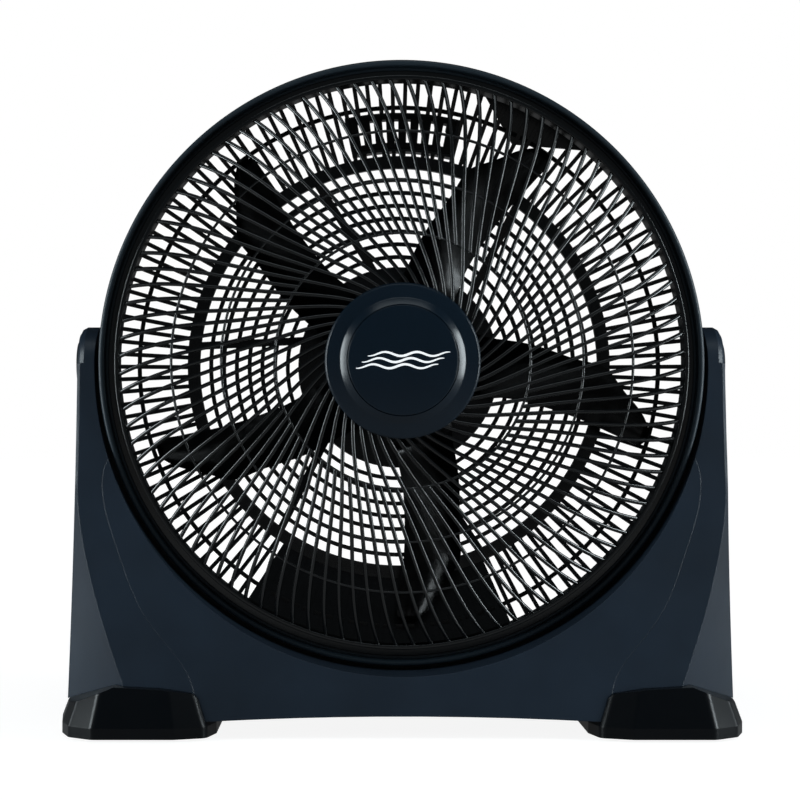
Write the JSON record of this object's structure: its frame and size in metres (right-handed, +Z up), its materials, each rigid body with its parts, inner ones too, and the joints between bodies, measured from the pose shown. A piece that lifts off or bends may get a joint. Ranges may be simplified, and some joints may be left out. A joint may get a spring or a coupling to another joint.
{
  "type": "box fan",
  "caption": "Round-grille floor fan with a deep drum that tilts between the arms of a wide U-shaped stand on two feet.",
  "frame": {"origin": "on the floor under the middle of the fan", "axes": "+X to the fan's right as seen from the front, air leaves towards -Y, +Z up"},
  "size_m": [0.598, 0.216, 0.5876],
  "materials": {
    "stand_plastic": "fine satin moulded texture, blue-black",
    "foot_plastic": "satin black",
    "rubber": "matt black rubber",
    "screw_steel": "dark zinc plating",
    "bush_nylon": "natural nylon",
    "cap_plastic": "semi-gloss black",
    "rim_plastic": "semi-gloss blue-black",
    "grille_plastic": "satin black",
    "handle_plastic": "satin black",
    "hub_plastic": "semi-gloss blue-black",
    "bell_aluminium": "as cast",
    "bearing_bronze": "sintered bronze",
    "core_steel": "laminated electrical steel",
    "winding_copper": "enamelled copper wire",
    "cover_plastic": "satin black",
    "capacitor_plastic": "moulded film capacitor case",
    "switch_plastic": "moulded switch body",
    "blade_plastic": "glossy black",
    "nut_plastic": "glossy black",
    "shaft_steel": "ground steel",
    "knob_plastic": "semi-gloss black with a white pointer"
  },
  "bodies": {
    "stand": {"stand_panel_front": "stand_plastic", "stand_panel_rear": "stand_plastic", "left_pillar_front": "stand_plastic", "left_pillar_rear": "stand_plastic", "right_pillar_front": "stand_plastic", "right_pillar_rear": "stand_plastic", "left_foot": "foot_plastic", "right_foot": "foot_plastic", "foot_pads": "rubber", "foot_screws": "screw_steel", "stand_screws": "screw_steel", "left_pivot_bush": "bush_nylon", "right_pivot_bush": "bush_nylon", "left_pivot_cap": "cap_plastic", "right_pivot_cap": "cap_plastic"},
    "head": {"drum": "rim_plastic", "front_grille": "grille_plastic", "hub_plate": "hub_plastic", "rear_grille": "grille_plastic", "carry_handle": "handle_plastic", "rim_screws": "screw_steel", "motor_front_bell": "bell_aluminium", "motor_rear_bell": "bell_aluminium", "front_bearing": "bearing_bronze", "rear_bearing": "bearing_bronze", "stator_core": "core_steel", "stator_winding": "winding_copper", "motor_screws": "screw_steel", "motor_cover": "cover_plastic", "cover_screws": "screw_steel", "run_capacitor": "capacitor_plastic", "speed_switch": "switch_plastic", "cord_gland": "cover_plastic", "left_friction_washer": "rubber", "right_friction_washer": "rubber", "left_pivot_bolt": "screw_steel", "right_pivot_bolt": "screw_steel"},
    "impeller": {"fan_blade": "blade_plastic", "blade_nut": "nut_plastic", "motor_shaft": "shaft_steel", "drive_pin": "shaft_steel", "rotor_core": "core_steel"},
    "knob": {"speed_knob": "knob_plastic", "switch_spindle": "shaft_steel"}
  },
  "joints": [
    {"name": "head_tilt", "type": "hinge", "parent": "stand", "child": "head", "pos_m": [0, 0, 0.322], "axis": [-1, 0, 0], "range_deg": [-15, 90]},
    {"name": "blade_spin", "type": "hinge", "parent": "head", "child": "impeller", "pos_m": [0, 0, 0.322], "axis": [0, -1, 0], "continuous": true},
    {"name": "speed_select", "type": "hinge", "parent": "head", "child": "knob", "pos_m": [0, 0.09, 0.368], "axis": [0, 1, 0], "range_deg": [0, 135]}
  ]
}
